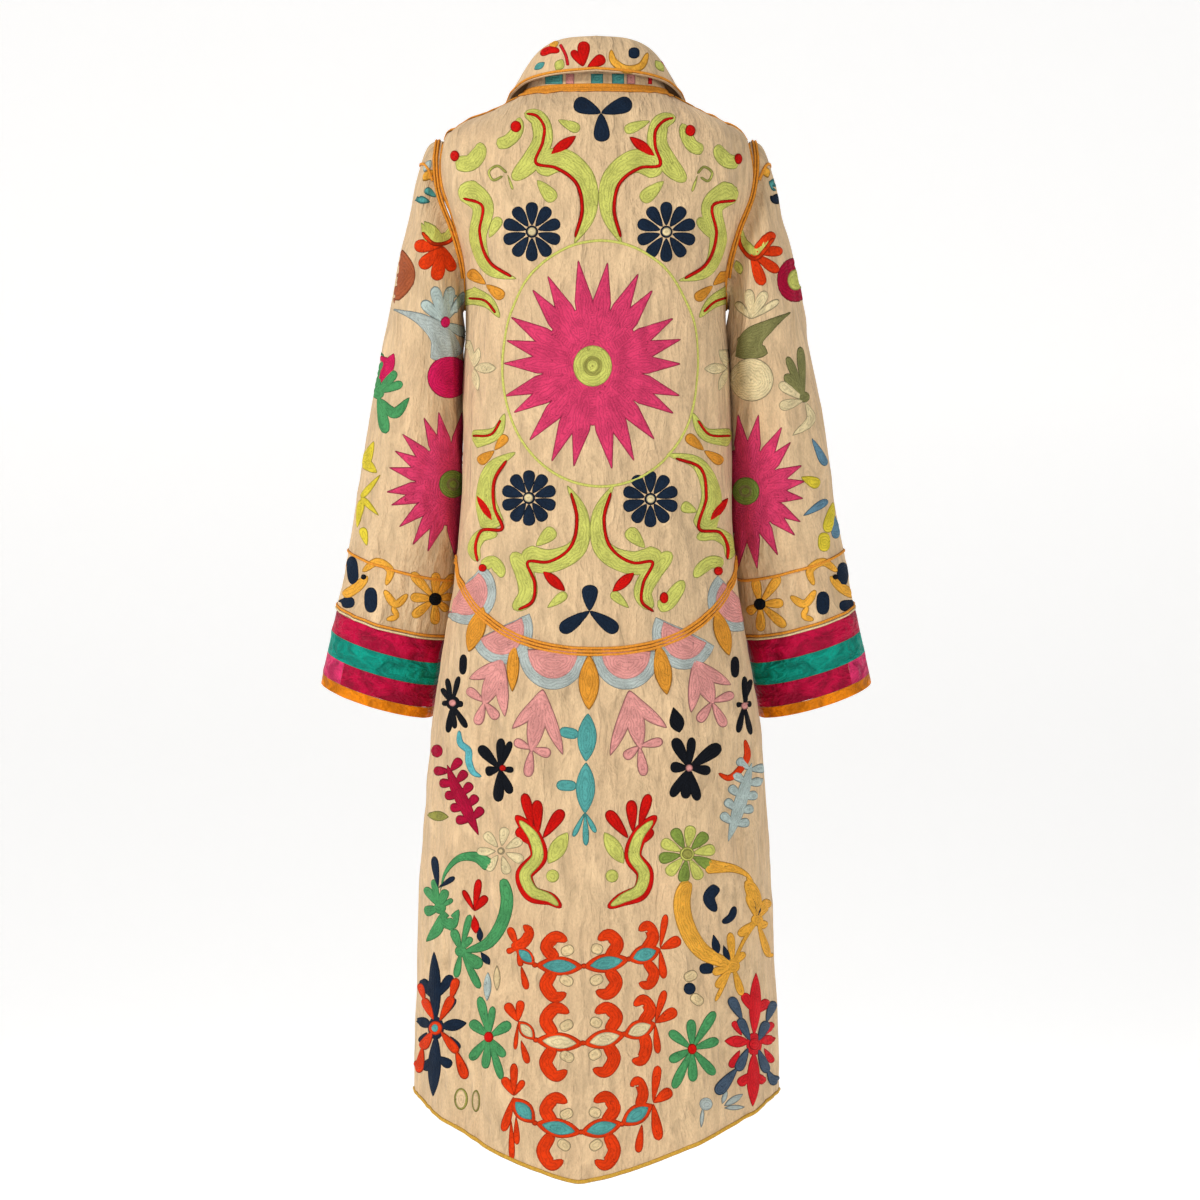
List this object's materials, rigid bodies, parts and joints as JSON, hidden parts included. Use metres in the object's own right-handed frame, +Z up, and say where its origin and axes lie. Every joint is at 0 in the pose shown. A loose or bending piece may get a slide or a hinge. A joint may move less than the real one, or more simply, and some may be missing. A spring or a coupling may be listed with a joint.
{
  "type": "long quilted applique coat",
  "caption": "Long quilted cotton coat with applique flowers, turned-down collar, long sleeves with striped cuffs, open front and a rounded back hem.",
  "frame": {"origin": "middle of the neck on the shoulder line, where the wearer's shoulders hold the coat up", "axes": "+Z up along the coat's length, the back faces -Y, +X is on the right of someone who looks at the back"},
  "size_m": [0.6138, 0.2894, 1.2311],
  "materials": {
    "sand": "matte quilted cotton",
    "magenta": "soft silk sheen",
    "teal": "soft silk sheen",
    "pink": "soft silk sheen",
    "orange": "matte cord",
    "gold": "matte cord"
  },
  "bodies": {
    "root": {"back_lower": "sand", "back_upper": "sand", "collar_fall": "sand", "collar_stand": "sand", "cuff_binding_left": "orange", "cuff_binding_right": "orange", "cuff_lower_left": "magenta", "cuff_lower_right": "magenta", "cuff_pink_left": "pink", "cuff_pink_right": "pink", "cuff_teal_left": "teal", "cuff_teal_right": "teal", "cuff_upper_left": "magenta", "cuff_upper_right": "magenta", "front_left": "sand", "front_right": "sand", "piping_armhole_left": "orange", "piping_armhole_right": "orange", "piping_cap_left": "orange", "piping_cap_right": "orange", "piping_collar": "orange", "piping_cuff_left": "orange", "piping_cuff_right": "orange", "piping_front_left": "gold", "piping_front_right": "gold", "piping_hem_back": "gold", "piping_hem_left": "gold", "piping_hem_right": "gold", "piping_neck": "orange", "piping_shoulder_left": "orange", "piping_shoulder_right": "orange", "piping_sleeve_left": "orange", "piping_sleeve_right": "orange", "piping_yoke": "orange", "shoulder_cap_left": "sand", "shoulder_cap_right": "sand", "sleeve_band_left": "sand", "sleeve_band_right": "sand", "sleeve_left": "sand", "sleeve_right": "sand"}
  },
  "joints": []
}
